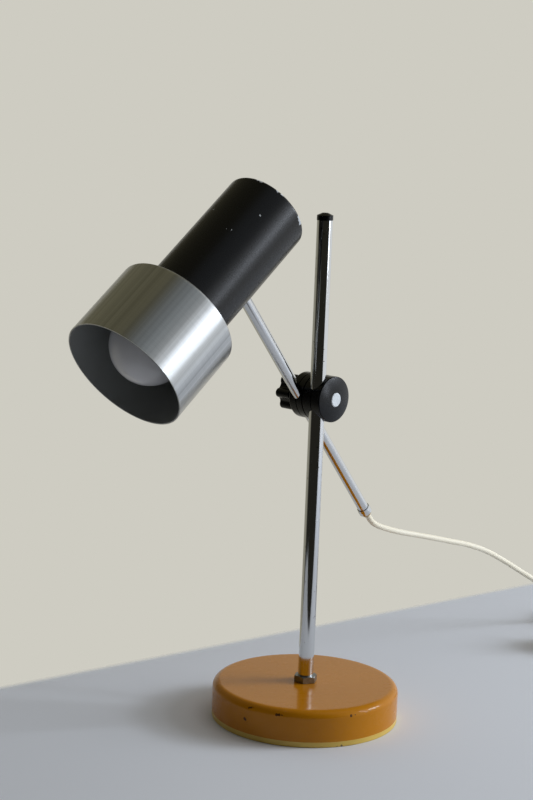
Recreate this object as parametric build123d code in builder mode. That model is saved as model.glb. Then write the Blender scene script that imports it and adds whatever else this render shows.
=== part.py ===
from build123d import *
import os
from math import atan2, cos, dist, pi, radians, sin, sqrt, tan

# Desk lamp: a weighted enamel base, a chromed stem, a cross clamp that slides and turns on it,
# and a chromed arm through the clamp, with a cylinder head on one end and its cord at the other.
# The origin is under the centre of the base. +X is the clamp's bolt, towards its domed disc,
# and the head looks towards -Y. Sizes are in millimetres and degrees.

os.makedirs("parts", exist_ok=True)

# Clearances
fit_gap = 0.1
run_gap = 0.1
face_gap = 0.3
cut_margin = 1.0

# Base
base_diameter = 152.4
base_height = 29.6
base_edge_radius = 6.0
shell_wall = 1.2
ring_height = 4.5
ring_edge_radius = 0.8
ring_lip = 2.0
ring_lip_height = 4.5
ring_flange = 11.0
pad_thickness = 2.0
plate_thickness = 2.0
weight_thickness = 16.5
weight_edge_radius = 6.5
weight_recess_radius = 14.0
weight_recess_depth = 4.5

# Stem
stem_diameter = 12.7
stem_wall = 1.2
stem_top = 408.2
spigot_diameter = 10.0
spigot_bottom = 6.5
spigot_in_stem = 14.0
lock_nut_height = 5.3
lock_nut_flats = 17.0
under_nut_height = 5.0
under_washer_radius = 11.0
under_washer_thickness = 1.5
cap_diameter = 13.0
cap_side = 3.9
cap_cone = 1.9
cap_flat_radius = 2.2
cap_plug = 8.0

# Cross clamp
clamp_height = 264.8
clamp_diameter = 37.2
clamp_edge_radius = 1.0
split_gap = 0.8
bolt_offset = 10.0
bolt_diameter = 6.0
bolt_head_diameter = 11.5
bolt_head_thickness = 3.0
stem_disc_half = 8.9
stem_disc_back = 8.6
dome_rise = 2.6
friction_washer_thickness = 0.8
friction_washer_radius = 16.0
arm_offset = 10.0
arm_disc_inner = 5.9
arm_disc_outer = 7.4
pressure_washer_radius = 9.0
pressure_washer_thickness = 1.0

# Clamp knob
knob_hub_radius = 9.0
knob_hub_length = 3.0
knob_grip_length = 14.2
knob_lobes = 6
knob_core_radius = 11.2
knob_lobe_radius = 3.9
knob_lobe_centre = 11.1
knob_valley_radius = 2.5
knob_edge_radius = 1.6
insert_radius = 5.0
insert_length = 12.5
bolt_in_knob = 11.5

# Arm
arm_diameter = 9.525
arm_wall = 0.75
arm_angle = 50.3
arm_reach = 157.4
arm_tail = 129.8
ferrule_diameter = 11.3
ferrule_over = 3.0
ferrule_taper = 2.6
ferrule_end_wall = 3.6
ferrule_lip = 0.4
bush_stem_radius = 3.5
bush_flange_radius = 4.4
bush_tip_radius = 3.4
bush_flange = 1.0
bush_length = 2.8
nipple_bore = 6.2
nipple_in_arm = 15.0
nipple_inside = 11.0
head_nut_height = 4.0
head_nut_flats = 12.0
head_washer_radius = 6.5
head_washer_thickness = 1.0

# Head
head_angle = 37.9
mouth_to_arm = 127.0
head_length = 185.7
barrel_diameter = 68.6
barrel_wall = 1.0
barrel_edge_radius = 2.5
barrel_in_collar = 7.0
vent_count = 8
vent_radius = 2.5
vent_circle_radius = 23.0
collar_diameter = 100.0
collar_length = 67.5
collar_wall = 1.2
collar_edge_radius = 2.5
neck_wall = 1.2
rivet_count = 3
rivet_radius = 1.6
rivet_head_radius = 2.8
rivet_head_height = 0.9

# Lampholder and its bracket
bracket_to_arm = 9.6
bracket_thickness = 1.5
bracket_width = 14.0
bracket_tail = 10.0
saddle_radius = 9.5
saddle_thickness = 1.4
holder_nipple_radius = 5.0
holder_nipple_bore = 3.5
holder_nut_flats = 14.0
holder_nut_height = 3.5
holder_radius = 17.0
holder_back_radius = 12.0
holder_body_length = 26.0
holder_floor = 11.0
holder_shell_radius = 13.7
holder_shell_length = 33.0
bayonet_slot_width = 2.6
holder_ring_radius = 19.0
holder_ring_setback = 12.6
holder_ring_length = 5.0
plunger_radius = 2.0
plunger_pitch = 11.0
plunger_stroke = 1.4
plunger_proud = 1.9

# Bulb
bulb_radius = 30.0
bulb_length = 102.5
bulb_skin = 0.8
bulb_neck_radius = 10.4
bulb_neck_straight = 2.0
bulb_cap_radius = 11.0
bulb_cap_wall = 0.5
bulb_cap_length = 24.5
bulb_pin_radius = 1.0
bulb_pin_reach = 2.4
bulb_pin_from_base = 6.5

# Push switch in the end of the head
switch_radius = 9.0
switch_length = 24.0
switch_neck_radius = 5.9
switch_neck_length = 4.2
switch_ring_radius = 8.5
switch_ring_thickness = 2.5
button_radius = 4.0
button_in_switch = 9.0
button_proud = 5.5
button_travel = 3.0
button_edge_radius = 1.2

# Cord, coil and plug
cord_diameter = 5.0
lead_diameter = 2.2
coil_pitch = 6.6
layer_pitch = 6.0
coil_middle_radius = 30.0
coil_layers = 4
layer_turns = 1.5
floor_clearance = 0.1
plug_width = 50.0
plug_cable_width = 36.0
plug_length = 48.0
plug_corner_radius = 7.0
plug_cover_height = 15.4
plug_base_height = 8.6
plug_edge_radius = 3.0
pin_thickness = 4.0
pin_width = 6.35
pin_length = 17.7
earth_pin_width = 8.0
earth_pin_length = 22.7
pin_pitch = 22.2

# Radii and places that follow from the sizes
base_radius = base_diameter / 2
shell_bore = base_radius - shell_wall
stem_radius = stem_diameter / 2
spigot_radius = spigot_diameter / 2
clamp_radius = clamp_diameter / 2
bolt_radius = bolt_diameter / 2
arm_radius = arm_diameter / 2
arm_bore = arm_radius - arm_wall
nipple_radius = arm_bore - fit_gap
barrel_radius = barrel_diameter / 2
barrel_bore = barrel_radius - barrel_wall
collar_radius = collar_diameter / 2
cord_radius = cord_diameter / 2

# Depths from the mouth: the bracket is set by the arm, the holder by the bracket, the bulb by both
bracket_depth = mouth_to_arm - bracket_to_arm
cup_floor = bracket_depth - holder_floor
cap_end = cup_floor - plunger_proud
bulb_cap_depth = cap_end - bulb_cap_length
bulb_neck_depth = bulb_cap_depth - bulb_neck_straight
bulb_inset = cap_end - bulb_length

bolt_point = Vector(0, bolt_offset, clamp_height)
bolt_axis = Axis(bolt_point, (1, 0, 0))
bolt_profile = Plane(origin=bolt_point, x_dir=(1, 0, 0), z_dir=(0, -1, 0))
bolt_section = Plane(origin=bolt_point, x_dir=(0, 1, 0), z_dir=(1, 0, 0))

# The discs, from the stem's disc outwards along -X
friction_face = -stem_disc_back - face_gap
arm_disc_front = friction_face - friction_washer_thickness
arm_x = arm_disc_front - arm_disc_inner
arm_disc_back = arm_x - arm_disc_outer
pressure_face = arm_disc_back - pressure_washer_thickness
knob_face = pressure_face - face_gap
grip_face = knob_face - knob_hub_length
knob_end = grip_face - knob_grip_length

arm_cos = cos(radians(arm_angle))
arm_sin = sin(radians(arm_angle))
arm_dir = Vector(0, arm_cos, -arm_sin)
arm_foot = Vector(arm_x, bolt_offset - arm_offset * arm_sin, clamp_height - arm_offset * arm_cos)
arm_axis = Axis(arm_foot, arm_dir)
arm_section = Plane(origin=arm_foot, x_dir=(1, 0, 0), z_dir=arm_dir)

head_joint = arm_foot - arm_dir * arm_reach
inward = Vector(0, cos(radians(head_angle)), sin(radians(head_angle)))
mouth_centre = head_joint - inward * mouth_to_arm
head_axis = Axis(mouth_centre, inward)
head_profile = Plane(origin=mouth_centre, x_dir=inward, z_dir=(1, 0, 0))
head_section = Plane(origin=mouth_centre, x_dir=(1, 0, 0), z_dir=inward)
head_skew = abs(90 - arm_angle - head_angle)


def spin(points, plane, axis, mode=Mode.ADD):
    """Turns a closed outline of (along, radius) points about an axis, in the open part."""
    with BuildSketch(plane) as outline:
        with BuildLine():
            Polyline(*points, close=True)
        make_face()
    revolve(outline.sketch, axis=axis, mode=mode)


def rod(plane, radius, length, mode=Mode.ADD):
    """Adds or cuts a round bar that stands on a plane, in the open part."""
    with BuildSketch(plane) as disc:
        Circle(radius)
    extrude(disc.sketch, amount=length, mode=mode)


def hexagon(plane, flats, height, bore):
    """Adds a nut that stands on a plane, with the corners of its far face turned back."""
    corner = flats / 2 / cos(radians(30))
    turned = (corner - flats / 2) * 0.8
    with BuildPart() as blank:
        rod(plane, corner, height)
        chamfer(blank.edges().sort_by(Axis(plane.origin, plane.z_dir))[-1], turned)
    with BuildSketch(plane) as outline:
        RegularPolygon(flats / 2, 6, major_radius=False)
    extrude(outline.sketch, amount=height)
    add(blank.part, mode=Mode.INTERSECT)
    rod(plane, bore, height, Mode.SUBTRACT)


# Base shell: a pressed steel drum, open below, with a rolled top edge.
with BuildPart() as base_shell:
    rod(Plane.XY.offset(ring_height), base_radius, base_height - ring_height)
    fillet(base_shell.edges().group_by(Axis.Z)[-1], base_edge_radius)
    offset(amount=-shell_wall, openings=base_shell.faces().sort_by(Axis.Z)[0])
    rod(Plane.XY.offset(base_height - 2 * shell_wall), spigot_radius + run_gap, 3 * shell_wall, Mode.SUBTRACT)
base_shell.part.label = "base_shell"
export_step(base_shell.part, "parts/base_shell.step")

# Foot ring: moulded, with a lip inside the shell and a flange under the bottom plate.
lip_radius = shell_bore - fit_gap
flange_radius = base_radius - ring_flange
with BuildPart() as foot_ring:
    with BuildSketch(Plane.XZ) as ring_outline:
        with BuildLine():
            Polyline(
                (base_radius, ring_height),
                (lip_radius, ring_height),
                (lip_radius, ring_height + ring_lip_height),
                (lip_radius - ring_lip, ring_height + ring_lip_height),
                (lip_radius - ring_lip, pad_thickness),
                (flange_radius, pad_thickness),
                (flange_radius, 0),
                (base_radius, 0),
                close=True,
            )
        make_face()
        fillet(ring_outline.vertices().group_by(Axis.Y)[0].sort_by(Axis.X)[-1], ring_edge_radius)
    revolve(axis=Axis.Z)
foot_ring.part.label = "foot_ring"
export_step(foot_ring.part, "parts/foot_ring.step")

# Weight: a cast disc that fills the top of the shell, recessed below for the nut.
weight_top = base_height - shell_wall - fit_gap
weight_bottom = weight_top - weight_thickness
recess_top = weight_bottom + weight_recess_depth
with BuildPart() as base_weight:
    rod(Plane.XY.offset(weight_bottom), shell_bore - fit_gap, weight_thickness)
    fillet(base_weight.edges().group_by(Axis.Z)[-1], weight_edge_radius)
    rod(Plane.XY.offset(weight_bottom), weight_recess_radius, weight_recess_depth, Mode.SUBTRACT)
    rod(Plane.XY.offset(weight_bottom), spigot_radius + run_gap, weight_thickness, Mode.SUBTRACT)
base_weight.part.label = "base_weight"
export_step(base_weight.part, "parts/base_weight.step")

# Bottom plate: a board that lies on the ring's flange.
with BuildPart() as bottom_plate:
    rod(Plane.XY.offset(pad_thickness), lip_radius - ring_lip - fit_gap, plate_thickness)
bottom_plate.part.label = "bottom_plate"
export_step(bottom_plate.part, "parts/bottom_plate.step")

# Base pad: felt under the plate, level with the ring, which is the lamp's rest face.
with BuildPart() as base_pad:
    rod(Plane.XY, flange_radius - fit_gap, pad_thickness)
base_pad.part.label = "base_pad"
export_step(base_pad.part, "parts/base_pad.step")

# Stem spigot: the rod screwed in the tube's foot, which holds the stem down through the weight.
stem_foot = base_height + face_gap + lock_nut_height
with BuildPart() as stem_spigot:
    rod(Plane.XY.offset(spigot_bottom), spigot_radius, stem_foot + spigot_in_stem - spigot_bottom)
    chamfer(stem_spigot.edges().group_by(Axis.Z)[0], 1)
stem_spigot.part.label = "stem_spigot"
export_step(stem_spigot.part, "parts/stem_spigot.step")

# Stem lock nut: the chromed hexagon that shows on top of the base.
with BuildPart() as stem_lock_nut:
    hexagon(Plane.XY.offset(base_height + face_gap), lock_nut_flats, lock_nut_height, spigot_radius + fit_gap)
stem_lock_nut.part.label = "stem_lock_nut"
export_step(stem_lock_nut.part, "parts/stem_lock_nut.step")

# Washer and nut under the weight.
under_washer_bottom = recess_top - face_gap - under_washer_thickness
with BuildPart() as stem_washer:
    rod(Plane.XY.offset(under_washer_bottom), under_washer_radius, under_washer_thickness)
    rod(Plane.XY.offset(under_washer_bottom), spigot_radius + fit_gap, under_washer_thickness, Mode.SUBTRACT)
stem_washer.part.label = "stem_washer"
export_step(stem_washer.part, "parts/stem_washer.step")

with BuildPart() as stem_nut:
    nut_seat = Plane(origin=(0, 0, under_washer_bottom), z_dir=(0, 0, -1))
    hexagon(nut_seat, lock_nut_flats, under_nut_height, spigot_radius + fit_gap)
stem_nut.part.label = "stem_nut"
export_step(stem_nut.part, "parts/stem_nut.step")

# Stem tube: chromed steel tube, seated on the lock nut.
stem_bore = stem_radius - stem_wall
with BuildPart() as stem_tube:
    rod(Plane.XY.offset(stem_foot), stem_radius, stem_top - stem_foot)
    rod(Plane.XY.offset(stem_foot), stem_bore, stem_top - stem_foot, Mode.SUBTRACT)
stem_tube.part.label = "stem_tube"
export_step(stem_tube.part, "parts/stem_tube.step")

# Stem cap: a moulded plug with a low cone on top.
cap_radius = cap_diameter / 2
cap_top = stem_top + cap_side + cap_cone
with BuildPart() as stem_cap:
    spin(
        [
            (stem_top - cap_plug, 0),
            (stem_top - cap_plug, stem_bore - fit_gap - 0.4),
            (stem_top - 1, stem_bore - fit_gap),
            (stem_top, stem_bore - fit_gap),
            (stem_top, cap_radius),
            (stem_top + cap_side, cap_radius),
            (cap_top, cap_flat_radius),
            (cap_top, 0),
        ],
        Plane(origin=(0, 0, 0), x_dir=(0, 0, 1), z_dir=(0, -1, 0)),
        Axis.Z,
    )
stem_cap.part.label = "stem_cap"
export_step(stem_cap.part, "parts/stem_cap.step")

# The clamp is four moulded discs on one bolt. Each pair has a groove across it, off centre,
# and the bolt runs behind the tubes. The knob squeezes both pairs on their tubes at once.
groove_floor = Plane.XY.offset(clamp_height - clamp_radius - cut_margin)
groove_length = 2 * (clamp_radius + cut_margin)
arm_groove_start = arm_section.offset(-clamp_radius - cut_margin)
dome_radius = (clamp_radius**2 + dome_rise**2) / (2 * dome_rise)
dome_top = stem_disc_half + dome_rise


def dome_height(radius):
    """How far along the bolt the domed face stands at a radius from it."""
    return dome_top - dome_radius + sqrt(dome_radius**2 - radius**2)


# Outer stem disc: the domed half, with a seat for the bolt's head.
head_seat_radius = bolt_head_diameter / 2 + fit_gap
head_seat = dome_height(head_seat_radius) - bolt_head_thickness
with BuildPart() as stem_clamp_outer:
    with BuildSketch(bolt_profile) as dome_outline:
        with BuildLine():
            Polyline(
                (dome_height(head_seat_radius), head_seat_radius),
                (head_seat, head_seat_radius),
                (head_seat, bolt_radius + fit_gap),
                (split_gap / 2, bolt_radius + fit_gap),
                (split_gap / 2, clamp_radius),
                (stem_disc_half, clamp_radius),
            )
            ThreePointArc(
                (stem_disc_half, clamp_radius),
                (dome_height(clamp_radius * 0.7), clamp_radius * 0.7),
                (dome_height(head_seat_radius), head_seat_radius),
            )
        make_face()
        fillet(dome_outline.vertices().sort_by_distance((stem_disc_half, clamp_radius))[0], clamp_edge_radius)
    revolve(axis=bolt_axis)
    rod(groove_floor, stem_radius + run_gap, groove_length, Mode.SUBTRACT)
stem_clamp_outer.part.label = "stem_clamp_outer"
export_step(stem_clamp_outer.part, "parts/stem_clamp_outer.step")

# Inner stem disc.
with BuildPart() as stem_clamp_inner:
    rod(bolt_section.offset(-stem_disc_back), clamp_radius, stem_disc_back - split_gap / 2)
    rod(bolt_section.offset(-stem_disc_back), bolt_radius + fit_gap, stem_disc_back, Mode.SUBTRACT)
    rod(groove_floor, stem_radius + run_gap, groove_length, Mode.SUBTRACT)
stem_clamp_inner.part.label = "stem_clamp_inner"
export_step(stem_clamp_inner.part, "parts/stem_clamp_inner.step")

# Bolt: its bright flat head shows in the middle of the dome.
bolt_end = knob_face - bolt_in_knob
head_face = dome_height(0)
with BuildPart() as clamp_bolt:
    spin(
        [
            (bolt_end, 0),
            (bolt_end, bolt_radius - 0.8),
            (bolt_end + 0.8, bolt_radius),
            (head_seat, bolt_radius),
            (head_seat, bolt_head_diameter / 2),
            (head_face - 0.4, bolt_head_diameter / 2),
            (head_face, bolt_head_diameter / 2 - 0.6),
            (head_face, 0),
        ],
        bolt_profile,
        bolt_axis,
    )
clamp_bolt.part.label = "clamp_bolt"
export_step(clamp_bolt.part, "parts/clamp_bolt.step")

# Friction washer: fibre, between the pair on the stem and the pair on the arm.
with BuildPart() as friction_washer:
    rod(bolt_section.offset(arm_disc_front), friction_washer_radius, friction_washer_thickness)
    rod(bolt_section.offset(arm_disc_front), bolt_radius + face_gap, friction_washer_thickness, Mode.SUBTRACT)
friction_washer.part.label = "friction_washer"
export_step(friction_washer.part, "parts/friction_washer.step")

# Inner arm disc.
with BuildPart() as arm_clamp_inner:
    rod(bolt_section.offset(arm_x + split_gap / 2), clamp_radius, arm_disc_inner - split_gap / 2)
    rod(bolt_section.offset(arm_x), bolt_radius + run_gap, arm_disc_inner, Mode.SUBTRACT)
    rod(arm_groove_start, arm_radius + run_gap, groove_length, Mode.SUBTRACT)
arm_clamp_inner.part.label = "arm_clamp_inner"
export_step(arm_clamp_inner.part, "parts/arm_clamp_inner.step")

# Outer arm disc, its rim rounded towards the knob.
with BuildPart() as arm_clamp_outer:
    rod(bolt_section.offset(arm_disc_back), clamp_radius, arm_disc_outer - split_gap / 2)
    fillet(arm_clamp_outer.edges().group_by(Axis.X)[0], clamp_edge_radius)
    rod(bolt_section.offset(arm_disc_back), bolt_radius + run_gap, arm_disc_outer, Mode.SUBTRACT)
    rod(arm_groove_start, arm_radius + run_gap, groove_length, Mode.SUBTRACT)
arm_clamp_outer.part.label = "arm_clamp_outer"
export_step(arm_clamp_outer.part, "parts/arm_clamp_outer.step")

# Pressure washer under the knob.
with BuildPart() as pressure_washer:
    rod(bolt_section.offset(pressure_face), pressure_washer_radius, pressure_washer_thickness)
    rod(bolt_section.offset(pressure_face), bolt_radius + run_gap, pressure_washer_thickness, Mode.SUBTRACT)
pressure_washer.part.label = "pressure_washer"
export_step(pressure_washer.part, "parts/pressure_washer.step")

# Knob insert: a brass bush tapped for the bolt.
with BuildPart() as knob_insert:
    rod(bolt_section.offset(knob_face - insert_length), insert_radius - fit_gap, insert_length)
    rod(bolt_section.offset(knob_face - insert_length), bolt_radius + run_gap, insert_length, Mode.SUBTRACT)
knob_insert.part.label = "knob_insert"
export_step(knob_insert.part, "parts/knob_insert.step")

# Knob: a moulded hub with a lobed grip, the valleys rounded into the lobes.
with BuildPart() as clamp_knob:
    with BuildSketch(bolt_section.offset(knob_end)) as grip_outline:
        Circle(knob_core_radius)
        with PolarLocations(knob_lobe_centre, knob_lobes):
            Circle(knob_lobe_radius)
        fillet(grip_outline.vertices(), knob_valley_radius)
    extrude(amount=knob_grip_length)
    fillet(clamp_knob.edges().group_by(Axis.X)[0], knob_edge_radius)
    rod(bolt_section.offset(grip_face), knob_hub_radius, knob_hub_length)
    rod(bolt_section.offset(knob_face - insert_length), insert_radius, insert_length, Mode.SUBTRACT)
clamp_knob.part.label = "clamp_knob"
export_step(clamp_knob.part, "parts/clamp_knob.step")

# Arm tube: chromed, from just outside the head's wall to inside the ferrule.
skew_gap = arm_radius * tan(radians(head_skew))
arm_top = -(arm_reach - barrel_radius - face_gap - skew_gap)
with BuildPart() as arm_tube:
    rod(arm_section.offset(arm_top), arm_radius, arm_tail - arm_top)
    rod(arm_section.offset(arm_top), arm_bore, arm_tail - arm_top, Mode.SUBTRACT)
arm_tube.part.label = "arm_tube"
export_step(arm_tube.part, "parts/arm_tube.step")

# Ferrule: a bright flared sleeve over the tube's lower end, with a wall that holds the bush.
arm_profile = Plane(origin=arm_foot, x_dir=arm_dir, z_dir=(1, 0, 0))
ferrule_end = arm_tail + ferrule_end_wall
ferrule_radius = ferrule_diameter / 2
with BuildPart() as arm_ferrule:
    spin(
        [
            (arm_tail - ferrule_over, arm_radius + fit_gap),
            (arm_tail - ferrule_over, arm_radius + fit_gap + ferrule_lip),
            (arm_tail - ferrule_over + ferrule_taper, ferrule_radius),
            (ferrule_end - 0.8, ferrule_radius),
            (ferrule_end, ferrule_radius - 0.8),
            (ferrule_end, bush_stem_radius + fit_gap),
            (arm_tail, bush_stem_radius + fit_gap),
            (arm_tail, arm_radius + fit_gap),
        ],
        arm_profile,
        arm_axis,
    )
arm_ferrule.part.label = "arm_ferrule"
export_step(arm_ferrule.part, "parts/arm_ferrule.step")

# Cord bush: the soft grommet in the ferrule, tapering a little where the cord leaves.
bush_end = ferrule_end + bush_length
bush_bore = cord_radius + fit_gap
with BuildPart() as cord_bush:
    spin(
        [
            (arm_tail, bush_bore),
            (arm_tail, bush_stem_radius),
            (ferrule_end, bush_stem_radius),
            (ferrule_end, bush_flange_radius),
            (ferrule_end + bush_flange, bush_flange_radius),
            (bush_end, bush_tip_radius),
            (bush_end, bush_bore),
        ],
        arm_profile,
        arm_axis,
    )
cord_bush.part.label = "cord_bush"
export_step(cord_bush.part, "parts/cord_bush.step")

# Flex inside the arm, from the bush to the end of the nipple in the head.
nipple_top = -(arm_reach - barrel_bore + nipple_inside)
with BuildPart() as arm_flex:
    rod(arm_section.offset(nipple_top), cord_radius, bush_end - nipple_top)
arm_flex.part.label = "arm_flex"
export_step(arm_flex.part, "parts/arm_flex.step")

# Head nipple: the threaded tube from the arm's end through the wall of the head.
with BuildPart() as head_nipple:
    rod(arm_section.offset(nipple_top), nipple_radius, arm_top + nipple_in_arm - nipple_top)
    rod(arm_section.offset(nipple_top), nipple_bore / 2, arm_top + nipple_in_arm - nipple_top, Mode.SUBTRACT)
head_nipple.part.label = "head_nipple"
export_step(head_nipple.part, "parts/head_nipple.step")

# Washer and nut that hold the head on the nipple, inside the barrel.
saddle_face = barrel_bore - fit_gap - saddle_thickness
bracket_face = saddle_face - bracket_thickness
washer_gap = face_gap + head_washer_radius * tan(radians(head_skew))
washer_face = bracket_face - washer_gap
washer_place = arm_section.offset(-(arm_reach - washer_face + head_washer_thickness))
with BuildPart() as head_washer:
    rod(washer_place, head_washer_radius, head_washer_thickness)
    rod(washer_place, nipple_radius + fit_gap, head_washer_thickness, Mode.SUBTRACT)
head_washer.part.label = "head_washer"
export_step(head_washer.part, "parts/head_washer.step")

with BuildPart() as head_nut:
    nut_face = Plane(origin=washer_place.origin, x_dir=(1, 0, 0), z_dir=arm_dir * -1)
    hexagon(nut_face, head_nut_flats, head_nut_height, nipple_radius + fit_gap)
head_nut.part.label = "head_nut"
export_step(head_nut.part, "parts/head_nut.step")

# Barrel: a spun can, closed behind, with vents round the switch and the arm's hole in its side.
barrel_front = collar_length - barrel_in_collar
rivet_depth = barrel_front + (barrel_in_collar - collar_wall) / 2
rivet_planes = [
    Plane(
        origin=mouth_centre + inward * rivet_depth,
        x_dir=inward,
        z_dir=head_section.x_dir * cos(2 * pi * k / rivet_count) + head_section.y_dir * sin(2 * pi * k / rivet_count),
    )
    for k in range(rivet_count)
]
with BuildPart() as barrel:
    rod(head_section.offset(barrel_front), barrel_radius, head_length - barrel_front)
    fillet(barrel.edges().sort_by(head_axis)[-1], barrel_edge_radius)
    offset(amount=-barrel_wall, openings=barrel.faces().sort_by(head_axis)[0])
    rod(head_section.offset(head_length - 2 * barrel_wall), switch_neck_radius + fit_gap, 3 * barrel_wall, Mode.SUBTRACT)
    with BuildSketch(head_section.offset(head_length + cut_margin)) as vents:
        with PolarLocations(vent_circle_radius, vent_count, start_angle=180 / vent_count):
            Circle(vent_radius)
    extrude(vents.sketch, amount=-(barrel_wall + 2 * cut_margin), mode=Mode.SUBTRACT)
    rod(arm_section.offset(-arm_reach), nipple_radius + run_gap, barrel_radius + cut_margin, Mode.SUBTRACT)
    for rivet_plane in rivet_planes:
        rod(rivet_plane, rivet_radius, barrel_radius + cut_margin, Mode.SUBTRACT)
barrel.part.label = "barrel"
export_step(barrel.part, "parts/barrel.step")

# Collar: a spun aluminium shade, open in front, with a shoulder and a short neck on the barrel.
neck_bore = barrel_radius + fit_gap
neck_radius = neck_bore + neck_wall
with BuildPart() as collar:
    with BuildSketch(head_profile) as collar_outline:
        with BuildLine():
            Polyline(
                (0, collar_radius - collar_wall),
                (0, collar_radius),
                (collar_length, collar_radius),
                (collar_length, neck_bore),
                (barrel_front, neck_bore),
                (barrel_front, neck_radius),
                (collar_length - collar_wall, neck_radius),
                (collar_length - collar_wall, collar_radius - collar_wall),
                close=True,
            )
        make_face()
        fillet(collar_outline.vertices().sort_by_distance((collar_length, collar_radius))[0], collar_edge_radius)
        inner_corner = (collar_length - collar_wall, collar_radius - collar_wall)
        fillet(
            collar_outline.vertices().sort_by_distance(inner_corner)[0],
            collar_edge_radius - collar_wall,
        )
    revolve(axis=head_axis)
    for rivet_plane in rivet_planes:
        rod(rivet_plane, rivet_radius, collar_radius - collar_wall - cut_margin, Mode.SUBTRACT)
collar.part.label = "collar"
export_step(collar.part, "parts/collar.step")

# Rivets through the neck and the barrel.
with BuildPart() as collar_rivets:
    for rivet_plane in rivet_planes:
        shank_start = sqrt(barrel_bore**2 - rivet_head_radius**2) - fit_gap - rivet_head_height
        rod(rivet_plane.offset(shank_start), rivet_radius - fit_gap, neck_radius - shank_start)
        rod(rivet_plane.offset(shank_start), rivet_head_radius, rivet_head_height)
        rod(rivet_plane.offset(neck_radius), rivet_head_radius, rivet_head_height)
collar_rivets.part.label = "collar_rivets"
export_step(collar_rivets.part, "parts/collar_rivets.step")

# Saddle: a washer, round on one side to the barrel's wall and flat on the other for the bracket.
side_section = Plane(origin=head_joint, x_dir=(1, 0, 0), z_dir=head_section.y_dir)
with BuildPart() as head_saddle:
    rod(side_section.offset(saddle_face), saddle_radius, barrel_bore - saddle_face)
    rod(head_section, barrel_bore - fit_gap, head_length, Mode.INTERSECT)
    rod(arm_section.offset(-arm_reach), nipple_radius + run_gap, barrel_radius, Mode.SUBTRACT)
head_saddle.part.label = "head_saddle"
export_step(head_saddle.part, "parts/head_saddle.step")

# Bracket: a bent steel strap from the arm's hole to the middle of the head.
bracket_back = bracket_depth + bracket_thickness
with BuildPart() as holder_bracket:
    with BuildSketch(head_profile) as strap:
        with BuildLine():
            Polyline(
                (bracket_depth, bracket_tail),
                (bracket_depth, -saddle_face),
                (mouth_to_arm + saddle_radius, -saddle_face),
                (mouth_to_arm + saddle_radius, -bracket_face),
                (bracket_back, -bracket_face),
                (bracket_back, bracket_tail),
                close=True,
            )
        make_face()
    extrude(amount=bracket_width / 2, both=True)
    rod(head_section.offset(bracket_depth), holder_nipple_radius + fit_gap, bracket_thickness, Mode.SUBTRACT)
    rod(arm_section.offset(-arm_reach), nipple_radius + run_gap, barrel_radius, Mode.SUBTRACT)
holder_bracket.part.label = "holder_bracket"
export_step(holder_bracket.part, "parts/holder_bracket.step")

# Holder nipple and nut: they clamp the lampholder to the bracket.
nipple_grip = 4.0
nipple_start = bracket_depth - nipple_grip
nipple_length = nipple_grip + bracket_thickness + holder_nut_height + 1
with BuildPart() as holder_nipple:
    rod(head_section.offset(nipple_start), holder_nipple_radius, nipple_length)
    rod(head_section.offset(nipple_start), holder_nipple_bore, nipple_length, Mode.SUBTRACT)
holder_nipple.part.label = "holder_nipple"
export_step(holder_nipple.part, "parts/holder_nipple.step")

with BuildPart() as holder_nut:
    hexagon(head_section.offset(bracket_back), holder_nut_flats, holder_nut_height, holder_nipple_radius + fit_gap)
holder_nut.part.label = "holder_nut"
export_step(holder_nut.part, "parts/holder_nut.step")

# Lampholder body: a moulded cup, stepped down to its threaded entry.
cup_front = bracket_depth - holder_body_length
cup_bore = holder_shell_radius + fit_gap
plunger_points = [(-plunger_pitch / 2, 0), (plunger_pitch / 2, 0)]
with BuildPart() as holder_body:
    spin(
        [
            (cup_front, cup_bore),
            (cup_front, holder_radius),
            (cup_floor, holder_radius),
            (cup_floor + 2, holder_back_radius + 1),
            (bracket_depth, holder_back_radius),
            (bracket_depth, holder_nipple_radius + fit_gap),
            (nipple_start, holder_nipple_radius + fit_gap),
            (nipple_start, holder_nipple_bore),
            (nipple_start - 1, holder_nipple_bore),
            (nipple_start - 1, 0),
            (cup_floor, 0),
            (cup_floor, cup_bore),
        ],
        head_profile,
        head_axis,
    )
    with BuildSketch(head_section.offset(cup_floor)) as wells:
        with Locations(*plunger_points):
            Circle(plunger_radius + fit_gap)
    extrude(wells.sketch, amount=nipple_start - cup_floor - 1.5, mode=Mode.SUBTRACT)
holder_body.part.label = "holder_body"
export_step(holder_body.part, "parts/holder_body.step")

# Lampholder shell: a brass sleeve round the bulb's cap, slotted for its two pins.
shell_front = cup_floor - holder_shell_length
pin_depth = cap_end - bulb_pin_from_base
shell_bore_radius = bulb_cap_radius + face_gap
with BuildPart() as holder_shell:
    rod(head_section.offset(shell_front), holder_shell_radius, holder_shell_length)
    rod(head_section.offset(shell_front), shell_bore_radius, holder_shell_length, Mode.SUBTRACT)
    with BuildSketch(head_section.offset(shell_front)) as slots:
        Rectangle(2 * holder_shell_radius + cut_margin, bayonet_slot_width)
    extrude(slots.sketch, amount=pin_depth - shell_front, mode=Mode.SUBTRACT)
    with BuildSketch(Plane(origin=mouth_centre + inward * pin_depth, x_dir=inward, z_dir=(1, 0, 0))) as slot_end:
        Circle(bayonet_slot_width / 2)
    extrude(slot_end.sketch, amount=holder_shell_radius + cut_margin, both=True, mode=Mode.SUBTRACT)
holder_shell.part.label = "holder_shell"
export_step(holder_shell.part, "parts/holder_shell.step")

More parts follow.
